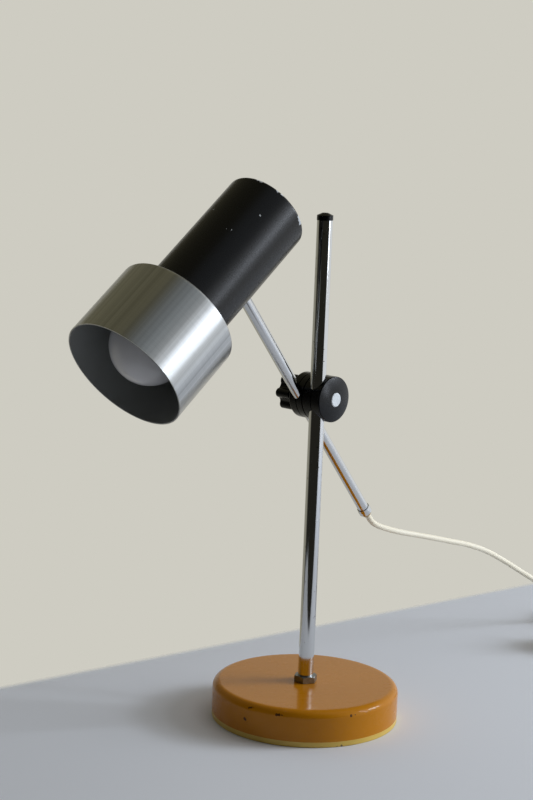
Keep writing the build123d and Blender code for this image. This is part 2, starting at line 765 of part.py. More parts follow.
# Lampholder ring: screwed on the front of the shell.
holder_ring_depth = shell_front + holder_ring_setback
with BuildPart() as holder_ring:
    rod(head_section.offset(holder_ring_depth), holder_ring_radius, holder_ring_length)
    chamfer(holder_ring.edges(), 0.6)
    rod(head_section.offset(holder_ring_depth), holder_shell_radius + fit_gap, holder_ring_length, Mode.SUBTRACT)
holder_ring.part.label = "holder_ring"
export_step(holder_ring.part, "parts/holder_ring.step")

# Contact plungers, pressed on the bulb's base.
well_end = nipple_start - 1.5
with BuildPart() as holder_contacts:
    with BuildSketch(head_section.offset(cap_end)) as plungers:
        with Locations(*plunger_points):
            Circle(plunger_radius)
    extrude(plungers.sketch, amount=well_end - plunger_stroke - cap_end)
holder_contacts.part.label = "holder_contacts"
export_step(holder_contacts.part, "parts/holder_contacts.step")


def bulb_section(skin):
    """Half the bulb's section, drawn in by a skin."""
    ball = bulb_radius - skin
    neck = bulb_neck_radius - skin
    centre = bulb_inset + bulb_radius
    run = bulb_neck_depth - centre
    sweep = (run**2 - bulb_radius**2 + bulb_neck_radius**2) / (2 * (bulb_radius - bulb_neck_radius)) + skin
    lean = atan2(sweep + neck, run)
    join = (centre + ball * cos(lean), ball * sin(lean))
    half = (lean + pi) / 2
    bend = lean + (pi / 2 - lean) / 2
    neck_end = bulb_cap_depth + cut_margin
    with BuildSketch(head_profile) as half_section:
        with BuildLine():
            Line((centre - ball, 0), (neck_end, 0))
            ThreePointArc((centre - ball, 0), (centre + ball * cos(half), ball * sin(half)), join)
            ThreePointArc(
                join,
                (bulb_neck_depth - sweep * cos(bend), sweep + neck - sweep * sin(bend)),
                (bulb_neck_depth, neck),
            )
            Line((bulb_neck_depth, neck), (neck_end, neck))
            Line((neck_end, neck), (neck_end, 0))
        make_face()
    return half_section.sketch


# Bulb: an opal glass envelope, thin and open at its neck, which stands in the cap.
with BuildPart() as bulb_glass:
    revolve(bulb_section(0), axis=head_axis)
    revolve(bulb_section(bulb_skin), axis=head_axis, mode=Mode.SUBTRACT)
bulb_glass.part.label = "bulb_glass"
export_step(bulb_glass.part, "parts/bulb_glass.step")

# Bulb cap: a thin metal cup with two side pins.
with BuildPart() as bulb_cap:
    spin(
        [
            (bulb_cap_depth, bulb_cap_radius - bulb_cap_wall),
            (bulb_cap_depth, bulb_cap_radius),
            (cap_end - 1.5, bulb_cap_radius),
            (cap_end, bulb_cap_radius - 2.5),
            (cap_end, 0),
            (cap_end - 3, 0),
            (cap_end - 3, bulb_cap_radius - bulb_cap_wall - 1.5),
            (cap_end - 5, bulb_cap_radius - bulb_cap_wall),
        ],
        head_profile,
        head_axis,
    )
    pin_plane = Plane(origin=mouth_centre + inward * pin_depth, x_dir=inward, z_dir=(1, 0, 0))
    for side in (-1, 1):
        rod(
            pin_plane.offset(side * (bulb_cap_radius - bulb_cap_wall)),
            bulb_pin_radius,
            side * (bulb_pin_reach + bulb_cap_wall),
        )
bulb_cap.part.label = "bulb_cap"
export_step(bulb_cap.part, "parts/bulb_cap.step")

# Switch: a round body behind the end wall, with a threaded neck through it.
switch_seat = head_length - barrel_wall - fit_gap
button_bottom = head_length - button_in_switch
with BuildPart() as switch_body:
    rod(head_section.offset(switch_seat - switch_length), switch_radius, switch_length)
    rod(head_section.offset(switch_seat), switch_neck_radius, switch_neck_length)
    button_well = button_bottom - button_travel - face_gap
    rod(head_section.offset(button_well), button_radius + run_gap, head_length, Mode.SUBTRACT)
switch_body.part.label = "switch_body"
export_step(switch_body.part, "parts/switch_body.step")

# Switch ring: the bright nut outside.
with BuildPart() as switch_ring:
    rod(head_section.offset(head_length), switch_ring_radius, switch_ring_thickness)
    chamfer(switch_ring.edges().sort_by(head_axis)[-1], 0.7)
    rod(head_section.offset(head_length), switch_neck_radius + fit_gap, switch_ring_thickness, Mode.SUBTRACT)
switch_ring.part.label = "switch_ring"
export_step(switch_ring.part, "parts/switch_ring.step")

# Switch button.
with BuildPart() as switch_button:
    rod(head_section.offset(button_bottom), button_radius, button_in_switch + switch_neck_length + button_proud)
    fillet(switch_button.edges().sort_by(head_axis)[-1], button_edge_radius)
switch_button.part.label = "switch_button"
export_step(switch_button.part, "parts/switch_button.step")


def head_point(depth, across, up):
    """A point in the head by its depth from the mouth, its place across X, and its place up."""
    return mouth_centre + inward * depth + Vector(1, 0, 0) * across - head_section.y_dir * up


# Leads in the head: one from the flex to the switch, and one from the flex to the lampholder.
flex_end = head_joint + arm_dir * (barrel_bore - nipple_inside - fit_gap)
lead_out = arm_dir * -1
lead_paths = {
    "switch": [
        flex_end + Vector(1.25, 0, 0),
        flex_end + Vector(1.25, 0, 0) + lead_out * 8,
        head_point(mouth_to_arm + 14, 3, -4),
        head_point(switch_seat - switch_length - 8, 4, 0),
        head_point(switch_seat - switch_length - fit_gap, 4, 0),
    ],
    "holder": [
        flex_end + Vector(-1.25, 0, 0),
        flex_end + Vector(-1.25, 0, 0) + lead_out * 9,
        head_point(mouth_to_arm + 6, -1.5, -4),
        head_point(mouth_to_arm + 2, -1.5, 2),
        head_point(nipple_start + nipple_length + 1, 0, 0),
        head_point(nipple_start + 0.5, 0, 0),
    ],
}


def route_radii(points):
    """The arc at each corner of a route, as large as the two runs beside it allow."""
    runs = [b - a for a, b in zip(points, points[1:])]
    return [
        0.45 * min(one.length, two.length) / tan(radians(one.get_angle(two)) / 2)
        for one, two in zip(runs, runs[1:])
    ]


def run_tube(points, radius):
    """Sweeps a round section along straight runs joined by tangent arcs, in the open part."""
    points = [Vector(*p) for p in points]
    with BuildLine() as path:
        FilletPolyline(*points, radius=route_radii(points))
    wire = path.wire()
    with BuildSketch(Plane(origin=wire @ 0, z_dir=wire % 0)) as section:
        Circle(radius)
    sweep(section.sketch, path=wire)


with BuildPart() as head_leads:
    for lead in lead_paths.values():
        run_tube(lead, lead_diameter / 2)
head_leads.part.label = "head_leads"
export_step(head_leads.part, "parts/head_leads.step")

# Cord: out of the bush along the arm, then falling away behind the lamp to the table.
cord_exit = arm_foot + arm_dir * bush_end
floor_height = cord_radius + floor_clearance
coil_start = Vector(-12, 424, floor_height)
cord_route = [
    cord_exit,
    cord_exit + arm_dir * 8,
    Vector(-15.6, 101.4, 142.6),
    Vector(-15.7, 115.5, 137.2),
    Vector(-16, 135, 130.9),
    Vector(-16, 156, 125.4),
    Vector(-15.6, 180, 118.9),
    Vector(-15.2, 206, 111.5),
    Vector(-16, 236, 103.3),
    Vector(-16.2, 266, 92.7),
    Vector(-15.4, 297, 77.2),
    Vector(-15.6, 329, 59.9),
    Vector(-14.6, 357, 45),
    Vector(-13, 381, 18),
    Vector(-12, 402, floor_height),
    coil_start,
]
with BuildPart() as power_cord:
    run_tube(cord_route, cord_radius)
power_cord.part.label = "power_cord"
export_step(power_cord.part, "parts/power_cord.step")

# Coil: the spare cord, wound in and out again in four layers. Each layer is a flat spiral,
# and the half turn between two layers climbs at a constant radius.
coil_outer = coil_middle_radius + coil_pitch * layer_turns / 2
coil_inner = coil_middle_radius - coil_pitch * layer_turns / 2
coil_centre = coil_start + Vector(coil_outer, 0, 0)
layer_span = layer_turns + 0.5
coil_turns = coil_layers * layer_span - 0.5


def coil_point(turns):
    """The cord's centre after some turns of the coil, clockwise from its -X side."""
    layer = min(int(turns / layer_span), coil_layers - 1)
    along = turns - layer * layer_span
    wound = min(along / layer_turns, 1.0)
    climb = max(along - layer_turns, 0.0) / 0.5
    inwards = wound if layer % 2 == 0 else 1 - wound
    radius = coil_outer + (coil_inner - coil_outer) * inwards
    angle = pi - 2 * pi * turns
    rise = layer_pitch * (layer + (1 - cos(pi * climb)) / 2)
    return coil_centre + Vector(radius * cos(angle), radius * sin(angle), rise)


def coil_direction(turns):
    """The cord's direction there, level at every quarter turn."""
    angle = pi - 2 * pi * turns
    return Vector(sin(angle), -cos(angle), 0)


def level_direction(turns, step):
    """The direction at a joint of the winding, which climbs only within the half turn between layers."""
    along = turns % layer_span
    if layer_turns < along < layer_span and turns < coil_turns:
        ahead = coil_point(turns + step) - coil_point(turns - step)
        return ahead.normalized()
    return coil_direction(turns)


with BuildPart() as cord_coil:
    quarter_turns = round(coil_turns * 4)
    with BuildLine() as winding:
        for k in range(quarter_turns):
            here = coil_point(k / 4)
            there = coil_point((k + 1) / 4)
            leaving = level_direction(k / 4, 0.02)
            arriving = level_direction((k + 1) / 4, 0.02)
            chord = there - here
            both = leaving + arriving
            # The two arcs meet midway between points set out the same way along both directions.
            slack = both.dot(both) - 4
            reach = -chord.dot(both) * 2
            size = 4 * chord.dot(chord)
            step = (reach + sqrt(reach**2 - slack * size)) / slack if abs(slack) > 1e-9 else -size / (2 * reach)
            step = abs(step) / 2
            middle = (here + leaving * step + there - arriving * step) * 0.5
            TangentArc(here, middle, tangent=leaving)
            TangentArc(middle, there, tangent=middle - here - leaving * step)
    coil_wire = winding.wire()
    with BuildSketch(Plane(origin=coil_wire @ 0, z_dir=coil_wire % 0)) as coil_section:
        Circle(cord_radius)
    sweep(coil_section.sketch, path=coil_wire)
cord_coil.part.label = "cord_coil"
export_step(cord_coil.part, "parts/cord_coil.step")

# Lead from the coil down to the plug.
plug_entry_height = floor_clearance + plug_cover_height / 2
coil_end = coil_point(coil_turns)
plug_face = Vector(coil_end.X + 0.7, coil_end.Y - 62, plug_entry_height)
plug_route = [
    coil_end,
    coil_end - Vector(0, 19, 0),
    plug_face + Vector(0, 19, 0),
    plug_face,
]
with BuildPart() as plug_lead:
    run_tube(plug_route, cord_radius)
plug_lead.part.label = "plug_lead"
export_step(plug_lead.part, "parts/plug_lead.step")


def plug_outline(height):
    """The plug's outline at a height, narrow where the cord enters."""
    with BuildSketch(Plane.XY.offset(height)) as outline:
        with BuildLine():
            Polyline(
                (plug_face.X - plug_cable_width / 2, plug_face.Y),
                (plug_face.X + plug_cable_width / 2, plug_face.Y),
                (plug_face.X + plug_width / 2, plug_face.Y - plug_length * 0.45),
                (plug_face.X + plug_width / 2, plug_face.Y - plug_length),
                (plug_face.X - plug_width / 2, plug_face.Y - plug_length),
                (plug_face.X - plug_width / 2, plug_face.Y - plug_length * 0.45),
                close=True,
            )
        make_face()
        fillet(outline.vertices(), plug_corner_radius)
    return outline.sketch


# Plug: a cover that lies on the table, and a base on it that carries the three pins.
with BuildPart() as plug_cover:
    extrude(plug_outline(floor_clearance), amount=plug_cover_height)
    fillet(plug_cover.edges().group_by(Axis.Z)[0], plug_edge_radius)
plug_cover.part.label = "plug_cover"
export_step(plug_cover.part, "parts/plug_cover.step")

with BuildPart() as plug_base:
    extrude(plug_outline(floor_clearance + plug_cover_height), amount=plug_base_height)
    fillet(plug_base.edges().group_by(Axis.Z)[-1], 1)
plug_base.part.label = "plug_base"
export_step(plug_base.part, "parts/plug_base.step")

pin_face = floor_clearance + plug_cover_height + plug_base_height
live_row = plug_face.Y - plug_length * 0.3
with BuildPart() as plug_pins:
    with BuildSketch(Plane.XY.offset(pin_face)) as live_pins:
        with Locations((plug_face.X - pin_pitch / 2, live_row), (plug_face.X + pin_pitch / 2, live_row)):
            Rectangle(pin_width, pin_thickness)
    extrude(live_pins.sketch, amount=pin_length)
    with BuildSketch(Plane.XY.offset(pin_face)) as earth_pin:
        with Locations((plug_face.X, live_row - pin_pitch)):
            Rectangle(pin_thickness, earth_pin_width)
    extrude(earth_pin.sketch, amount=earth_pin_length)
    chamfer(plug_pins.edges().filter_by(GeomType.LINE).group_by(Axis.Z)[-1], 0.8)
plug_pins.part.label = "plug_pins"
export_step(plug_pins.part, "parts/plug_pins.step")

# The cord's corner radii, its length, and the coil's least gap to itself.
print("cord radii", [round(r, 1) for r in route_radii(cord_route)])
print("plug lead radii", [round(r, 1) for r in route_radii([Vector(*p) for p in plug_route])])
section_area = pi * cord_radius**2
cord_lengths = [piece.part.volume / section_area for piece in (power_cord, cord_coil, plug_lead)]
print("cord lengths", [round(length, 1) for length in cord_lengths], "total", round(sum(cord_lengths), 1))
coil_samples = [coil_wire @ (k / 1500) for k in range(1501)]
sample_step = coil_wire.length / 1500
skip = int(4 * cord_diameter / sample_step)
least = min(
    dist(tuple(coil_samples[i]), tuple(coil_samples[j]))
    for i in range(0, 1501, 2)
    for j in range(i + skip, 1501, 2)
)
print("coil least gap", round(least - cord_diameter, 2))
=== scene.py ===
from math import cos, pi, radians, sin

import bpy
from mathutils import Matrix, Vector


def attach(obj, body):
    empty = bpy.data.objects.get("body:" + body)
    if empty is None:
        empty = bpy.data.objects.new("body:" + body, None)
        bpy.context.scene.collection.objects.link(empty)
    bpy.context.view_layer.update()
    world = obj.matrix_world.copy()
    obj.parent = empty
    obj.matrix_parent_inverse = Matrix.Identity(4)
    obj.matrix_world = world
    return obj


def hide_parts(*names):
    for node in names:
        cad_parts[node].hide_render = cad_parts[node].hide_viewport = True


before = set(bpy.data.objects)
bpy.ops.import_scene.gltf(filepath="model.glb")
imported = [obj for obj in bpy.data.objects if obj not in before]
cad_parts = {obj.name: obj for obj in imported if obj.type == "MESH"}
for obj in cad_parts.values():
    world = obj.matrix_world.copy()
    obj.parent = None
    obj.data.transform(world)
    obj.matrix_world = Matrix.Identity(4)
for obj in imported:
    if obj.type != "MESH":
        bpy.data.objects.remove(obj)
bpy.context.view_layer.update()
scene = bpy.context.scene
scene.view_settings.view_transform = "Standard"


# Camera. It stands in front of the lamp, to the +X side, a little above the head and tilted
# down, with a long lens.
camera_data = bpy.data.cameras.new("camera")
camera_data.sensor_fit = "VERTICAL"
camera_data.sensor_height = 36
camera_data.lens = 84.96
camera_data.clip_end = 50
camera = bpy.data.objects.new("camera", camera_data)
scene.collection.objects.link(camera)
stand = Matrix.Translation((0.96927, -1.13007, 0.52732))
heading = Matrix.Rotation(radians(42.185), 4, "Z")
below_level = 10.083
tilt = Matrix.Rotation(radians(90 - below_level), 4, "X")
roll = Matrix.Rotation(radians(2.166), 4, "Z")
camera.matrix_world = stand @ heading @ tilt @ roll
scene.camera = camera


# Room. It is pale behind the lamp and dark in front of it, which is what the chrome and the
# enamel show. The camera sees plain wall, and surfaces that scatter light get a soft fill.
def linear(code):
    """A hex colour as written, in sRGB, turned to the linear colour that a shader takes."""
    values = [int(code[i : i + 2], 16) / 255 for i in (1, 3, 5)]
    return [v / 12.92 if v <= 0.04045 else ((v + 0.055) / 1.055) ** 2.4 for v in values] + [1]


def set_inputs(tree, node, inputs):
    """Sets or links a node's inputs."""
    for socket, value in inputs.items():
        if isinstance(value, bpy.types.NodeSocket):
            tree.links.new(value, node.inputs[socket])
        else:
            node.inputs[socket].default_value = value


def add_node(tree, kind, inputs=None, **settings):
    """Adds a node with its settings and its inputs."""
    node = tree.nodes.new(kind)
    for name, value in settings.items():
        setattr(node, name, value)
    set_inputs(tree, node, inputs or {})
    return node


def past(tree, vector, side, start, end):
    """A mask that rises softly from 0 to 1 as a vector reaches from start to end on a side."""
    reach = add_node(tree, "ShaderNodeVectorMath", {0: vector, 1: side}, operation="DOT_PRODUCT")
    mask = add_node(
        tree,
        "ShaderNodeMapRange",
        {"Value": reach.outputs["Value"], "From Min": start, "From Max": end},
        interpolation_type="SMOOTHSTEP",
    )
    return mask.outputs["Result"]


def ray_kinds(tree):
    """The kinds of ray, and a mask of those that show what they meet: sight, gloss and glass."""
    rays = add_node(tree, "ShaderNodeLightPath").outputs
    showing = rays["Is Camera Ray"]
    for kind in ("Is Glossy Ray", "Is Transmission Ray"):
        either = add_node(tree, "ShaderNodeMath", {0: showing, 1: rays[kind]}, operation="MAXIMUM")
        showing = either.outputs[0]
    return rays, showing


world = bpy.data.worlds.new("room")
world.use_nodes = True
scene.world = world
tree = world.node_tree
tree.nodes.clear()
direction = add_node(tree, "ShaderNodeTexCoord").outputs["Generated"]
wall_colour = linear("#CECCC2")
in_front = (0.30, -0.95, 0.05)

# The room's tones, each towards its own side. A Mix node takes colours at its inputs 6 and 7 and
# gives one at its output 2.
room = wall_colour
for side, start, end, tone in (
    ((-0.9, -0.3, -0.2), 0.55, 0.85, "#9A9788"),  # on the left, low down
    ((-0.3, -0.3, 0.905), 0.25, 0.45, "#6E6A55"),  # overhead, to the left
    ((0.66, 0.2, 0.72), 0.74, 0.97, "#A2A8AC"),  # overhead, to the right
    ((0.6, 0.78, -0.15), 0.52, 0.78, "#EEF1F3"),  # on the right, by the windows
    (in_front, 0.15, 0.6, "#1A1914"),
):
    toned = add_node(
        tree,
        "ShaderNodeMix",
        {"Factor": past(tree, direction, side, start, end), 6: room, 7: linear(tone)},
        data_type="RGBA",
    )
    room = toned.outputs[2]

rays, showing = ray_kinds(tree)
shown_colour = add_node(
    tree,
    "ShaderNodeMix",
    {"Factor": rays["Is Camera Ray"], 6: room, 7: wall_colour},
    data_type="RGBA",
)
ahead = past(tree, direction, in_front, -0.5, 0.5)
fill_colour = add_node(
    tree,
    "ShaderNodeMix",
    {"Factor": ahead, 6: linear("#F6F4EF"), 7: linear("#5B5954")},
    data_type="RGBA",
)
fill = add_node(
    tree, "ShaderNodeBackground", {"Color": fill_colour.outputs[2], "Strength": 0.42}
)
shown = add_node(tree, "ShaderNodeBackground", {"Color": shown_colour.outputs[2], "Strength": 1.0})
surround = add_node(
    tree, "ShaderNodeMixShader", {0: showing, 1: fill.outputs[0], 2: shown.outputs[0]}
)
add_node(tree, "ShaderNodeOutputWorld", {"Surface": surround.outputs[0]})


# Lights. Two narrow windows to the right of the lamp, one a little before it and one a little
# behind it, show in its metal. A broad glow behind them and a soft light overhead only light it.
lamp_middle = (0, 0, 0.22)
stem_foot = (0, 0, 0.1)
daylight = "#EAF2FF"
warm_white = "#FFF9F0"
for name, place, target, width, height, power, colour, mirrored in (
    ("near_window", (1.632, 0.94, 0.762), lamp_middle, 0.16, 1.28, 4.9, daylight, True),
    ("far_window", (1.28, 1.436, 0.858), lamp_middle, 0.7, 0.24, 12.5, daylight, True),
    ("window_glow", (2, 2.3, 1.4), lamp_middle, 1, 1.8, 46, daylight, False),
    ("ceiling", (0.5, 0.3, 1.9), stem_foot, 1.6, 1.6, 4.6, warm_white, False),
):
    light_data = bpy.data.lights.new(name, "AREA")
    light_data.shape = "RECTANGLE"
    light_data.size = width
    light_data.size_y = height
    light_data.energy = power
    light_data.color = linear(colour)[:3]
    light = bpy.data.objects.new(name, light_data)
    scene.collection.objects.link(light)
    facing = (Vector(target) - Vector(place)).to_track_quat("-Z", "Y").to_matrix().to_4x4()
    light.matrix_world = Matrix.Translation(place) @ facing
    light.visible_camera = False
    light.visible_glossy = mirrored


# Floor. It stands for a pale table. Past the table's far edge, and a step away from the lamp all
# round, the room shows in its place, and polished metal finds it dark past its near edges.
def new_look(name):
    """A material, its node tree, its shader and the object's coordinates."""
    look = bpy.data.materials.new(name)
    look.use_nodes = True
    coords = add_node(look.node_tree, "ShaderNodeTexCoord").outputs["Object"]
    return look, look.node_tree, look.node_tree.nodes["Principled BSDF"], coords


floor_size = 30
bpy.ops.mesh.primitive_plane_add(size=floor_size)
floor = bpy.context.object
floor.name = "floor"
floor_look, tree, shader, coords = new_look("floor")
set_inputs(tree, shader, {"Base Color": linear("#E3E6EA"), "Roughness": 0.9})
rays, showing = ray_kinds(tree)
far_edge = past(tree, coords, (-0.986, 0.168, 0), 0.183, 0.195)
distance = add_node(tree, "ShaderNodeVectorMath", {0: coords}, operation="LENGTH")
fade = add_node(
    tree,
    "ShaderNodeMapRange",
    {"Value": distance.outputs["Value"], "From Min": 0.8, "From Max": 1.6},
    interpolation_type="SMOOTHSTEP",
)
away = add_node(
    tree, "ShaderNodeMath", {0: far_edge, 1: fade.outputs["Result"]}, operation="MAXIMUM"
)
open_part = add_node(tree, "ShaderNodeMath", {0: away.outputs[0], 1: showing}, operation="MULTIPLY")
near_right = past(tree, coords, (0.906, -0.423, 0), 0.22, 0.27)
near_left = past(tree, coords, (0.35, -0.94, 0), 0.12, 0.22)
left_end = past(tree, coords, (-0.326, -0.946, 0), 0.46, 0.56)
near_half = past(tree, coords, (0.82, -0.57, 0), -0.04, 0.04)
near_part = add_node(tree, "ShaderNodeMath", {0: near_right, 1: near_left}, operation="MULTIPLY")
left_part = add_node(tree, "ShaderNodeMath", {0: left_end, 1: near_half}, operation="MULTIPLY")
front_part = add_node(
    tree, "ShaderNodeMath", {0: near_part.outputs[0], 1: left_part.outputs[0]}, operation="MAXIMUM"
)
dark_part = add_node(
    tree,
    "ShaderNodeMath",
    {0: front_part.outputs[0], 1: rays["Is Glossy Ray"]},
    operation="MULTIPLY",
)
clear = add_node(tree, "ShaderNodeBsdfTransparent")
gloom = add_node(tree, "ShaderNodeEmission", {"Color": linear("#262520")})
open_table = add_node(
    tree,
    "ShaderNodeMixShader",
    {0: open_part.outputs[0], 1: shader.outputs[0], 2: clear.outputs[0]},
)
ground = add_node(
    tree,
    "ShaderNodeMixShader",
    {0: dark_part.outputs[0], 1: open_table.outputs[0], 2: gloom.outputs[0]},
)
tree.links.new(ground.outputs[0], tree.nodes["Material Output"].inputs["Surface"])
floor.data.materials.append(floor_look)


# Base. A pressed steel drum in glossy stove enamel, chipped to its dark primer along the edge,
# over a cast weight, on a moulded foot ring with a felt pad.
def dress(look, *nodes):
    """Gives CAD nodes a material."""
    for node in nodes:
        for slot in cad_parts[node].material_slots:
            slot.material = look


def grain(size):
    """The scale of a pattern whose marks are this many millimetres across on the surface."""
    return 1000 / size


def mottle(tree, coords, size, detail, first, second, breakup=0.5):
    """A colour that wanders between two, with marks of this many millimetres, and its noise."""
    noise = add_node(
        tree,
        "ShaderNodeTexNoise",
        {"Vector": coords, "Scale": grain(size), "Detail": detail, "Roughness": breakup},
    )
    colour = add_node(
        tree,
        "ShaderNodeMix",
        {"Factor": noise.outputs["Fac"], 6: linear(first), 7: linear(second)},
        data_type="RGBA",
    )
    return colour.outputs[2], noise.outputs["Fac"]


def chip_mask(tree, coords, chips, wobble):
    """1 inside ragged chips. Their middles, their radii and the wobble are in millimetres."""
    ragged = add_node(
        tree, "ShaderNodeTexNoise", {"Vector": coords, "Scale": grain(1.7), "Detail": 4}
    )
    centred = add_node(
        tree,
        "ShaderNodeVectorMath",
        {0: ragged.outputs["Color"], 1: (0.5, 0.5, 0.5)},
        operation="SUBTRACT",
    )
    shifted = add_node(
        tree,
        "ShaderNodeVectorMath",
        {0: centred.outputs[0], 1: [wobble / 1000] * 3, 2: coords},
        operation="MULTIPLY_ADD",
    )
    mask = None
    for x, y, z, radius in chips:
        reach = add_node(
            tree,
            "ShaderNodeVectorMath",
            {0: shifted.outputs[0], 1: (x / 1000, y / 1000, z / 1000)},
            operation="DISTANCE",
        )
        inside = add_node(
            tree,
            "ShaderNodeMath",
            {0: reach.outputs["Value"], 1: radius / 1000},
            operation="LESS_THAN",
        )
        if mask:
            inside = add_node(
                tree, "ShaderNodeMath", {0: mask, 1: inside.outputs[0]}, operation="MAXIMUM"
            )
        mask = inside.outputs[0]
    return mask


# Stove enamel, sprayed and baked: a deep gloss over an even mustard orange. The ripple of the
# spray is finer than the picture shows, so it is drawn coarser.
enamel, tree, shader, coords = new_look("stove_enamel")
orange, _ = mottle(tree, coords, 55, 4, "#BA7509", "#C37E11")
base_chips = [
    (31.3, -69.6, 25.2, 1.3),
    (33.2, -68.7, 25.5, 1.3),
    (35.0, -67.8, 25.6, 0.8),
    (7.6, -75.8, 26.2, 1.1),
    (9.2, -75.6, 26.6, 1.2),
    (10.9, -75.3, 26.9, 0.8),
    (3.5, -76.1, 16.1, 1.1),
    (4.9, -76.0, 15.6, 0.9),
    (71.6, -26.0, 25.0, 1.1),
    (73.0, -22.5, 25.4, 0.6),
    (-40.0, 64.9, 25.0, 1.4),
    (-70.0, -30.2, 24.5, 1.1),
    (20.0, 73.6, 8.0, 1.0),
]
chipped = chip_mask(tree, coords, base_chips, 2.6)
colour = add_node(
    tree, "ShaderNodeMix", {"Factor": chipped, 6: orange, 7: linear("#533416")}, data_type="RGBA"
)
ripple = add_node(tree, "ShaderNodeTexNoise", {"Vector": coords, "Scale": grain(2.4), "Detail": 2})
relief = add_node(
    tree,
    "ShaderNodeMath",
    {0: chipped, 1: -1.0, 2: ripple.outputs["Fac"]},
    operation="MULTIPLY_ADD",
)
bump = add_node(
    tree, "ShaderNodeBump", {"Height": relief.outputs[0], "Distance": 0.0001, "Strength": 0.08}
)
rubbed = add_node(tree, "ShaderNodeTexNoise", {"Vector": coords, "Scale": grain(16), "Detail": 6})
sheen = add_node(
    tree, "ShaderNodeMapRange", {"Value": rubbed.outputs["Fac"], "To Min": 0.2, "To Max": 0.34}
)
set_inputs(
    tree,
    shader,
    {
        "Base Color": colour.outputs[2],
        "Roughness": sheen.outputs["Result"],
        "Normal": bump.outputs[0],
        "Specular IOR Level": 0.06,
        "Coat Weight": 0.36,
        "Coat Roughness": 0.03,
    },
)
dress(enamel, "base_shell")

# Moulded polystyrene, yellowed with age: a smooth waxy skin, scuffed brown on its lower edge.
ring_plastic, tree, shader, coords = new_look("aged_polystyrene")
cream, _ = mottle(tree, coords, 22, 5, "#D0AE48", "#E0BF60")
ring_scuffs = [(68.7, -33.0, 0.6, 1.2), (66.9, -36.6, 0.6, 0.8)]
scuffed = chip_mask(tree, coords, ring_scuffs, 3)
colour = add_node(
    tree, "ShaderNodeMix", {"Factor": scuffed, 6: cream, 7: linear("#6B5228")}, data_type="RGBA"
)
set_inputs(tree, shader, {"Base Color": colour.outputs[2], "Roughness": 0.38})
dress(ring_plastic, "foot_ring")

# Pressed wool felt: a dull matted nap. Its hairs are too fine to show, so it is drawn coarser.
felt, tree, shader, coords = new_look("wool_felt")
green, nap = mottle(tree, coords, 1.4, 6, "#1D3527", "#3C5A47", breakup=0.7)
bump = add_node(tree, "ShaderNodeBump", {"Height": nap, "Distance": 0.0006, "Strength": 0.8})
set_inputs(tree, shader, {"Base Color": green, "Normal": bump.outputs[0], "Roughness": 0.95})
dress(felt, "base_pad")

# Pressed fibre board: brown and dull, with short flecks.
fibre, tree, shader, coords = new_look("fibre_board")
brown, _ = mottle(tree, coords, 2, 8, "#4A3320", "#7A5A3C", breakup=0.8)
set_inputs(tree, shader, {"Base Color": brown, "Roughness": 0.8})
dress(fibre, "bottom_plate")

# Grey iron, cast in sand: a gritty skin. The grit is too fine to show, so it is drawn coarser.
iron, tree, shader, coords = new_look("cast_iron")
grit = add_node(tree, "ShaderNodeTexNoise", {"Vector": coords, "Scale": grain(1.2), "Detail": 4})
bump = add_node(
    tree, "ShaderNodeBump", {"Height": grit.outputs["Fac"], "Distance": 0.0005, "Strength": 0.6}
)
set_inputs(
    tree,
    shader,
    {
        "Base Color": linear("#3B3B3C"),
        "Metallic": 1,
        "Roughness": 0.6,
        "Normal": bump.outputs[0],
    },
)
dress(iron, "base_weight")


# Stem. A chromed steel tube, screwed down through the base with a hexagon nut, and closed by a
# moulded cap. The chrome is pitted and lightly scratched.
def plated(name, pits_above, scratches=()):
    """Polished chrome plate over steel: a dark mirror with fine rubbing, pits and scratches.

    The pits are some 4 mm apart, in patches: those where a noise of 0 to 1 is above pits_above.
    """
    look, tree, shader, coords = new_look(name)
    rub = add_node(
        tree,
        "ShaderNodeTexNoise",
        {"Vector": coords, "Scale": grain(14), "Detail": 8, "Roughness": 0.65},
    )
    rough = add_node(
        tree, "ShaderNodeMapRange", {"Value": rub.outputs["Fac"], "To Min": 0.03, "To Max": 0.13}
    )
    pits = add_node(tree, "ShaderNodeTexVoronoi", {"Vector": coords, "Scale": grain(4)})
    between = add_node(
        tree,
        "ShaderNodeMapRange",
        {"Value": pits.outputs["Distance"], "From Min": 0.1, "From Max": 0.16},
    )
    patches = add_node(
        tree, "ShaderNodeTexNoise", {"Vector": coords, "Scale": grain(25), "Detail": 3}
    )
    sound = add_node(
        tree,
        "ShaderNodeMapRange",
        {"Value": patches.outputs["Fac"], "From Min": pits_above, "From Max": pits_above - 0.08},
    )
    clean = add_node(
        tree,
        "ShaderNodeMath",
        {0: between.outputs["Result"], 1: sound.outputs["Result"]},
        operation="MAXIMUM",
    )
    tint = add_node(
        tree,
        "ShaderNodeMix",
        {"Factor": clean.outputs[0], 6: linear("#4A4038"), 7: linear("#D6D7D8")},
        data_type="RGBA",
    )
    polish = rough.outputs["Result"]
    if scratches:
        dulled = chip_mask(tree, coords, scratches, 1.6)
        scratched = add_node(
            tree, "ShaderNodeMath", {0: dulled, 1: 0.5, 2: polish}, operation="MULTIPLY_ADD"
        )
        polish = scratched.outputs[0]
    set_inputs(
        tree, shader, {"Base Color": tint.outputs[2], "Roughness": polish, "Metallic": 1}
    )
    return look


def phenolic(name, dark, light, roughness):
    """Moulded phenolic: hard and smooth, with a faint haze from handling."""
    look, tree, shader, coords = new_look(name)
    tone, haze = mottle(tree, coords, 9, 7, dark, light, breakup=0.7)
    rough = add_node(
        tree,
        "ShaderNodeMapRange",
        {"Value": haze, "To Min": roughness - 0.06, "To Max": roughness + 0.1},
    )
    set_inputs(
        tree,
        shader,
        {"Base Color": tone, "Roughness": rough.outputs["Result"], "Specular IOR Level": 0.28},
    )
    return look


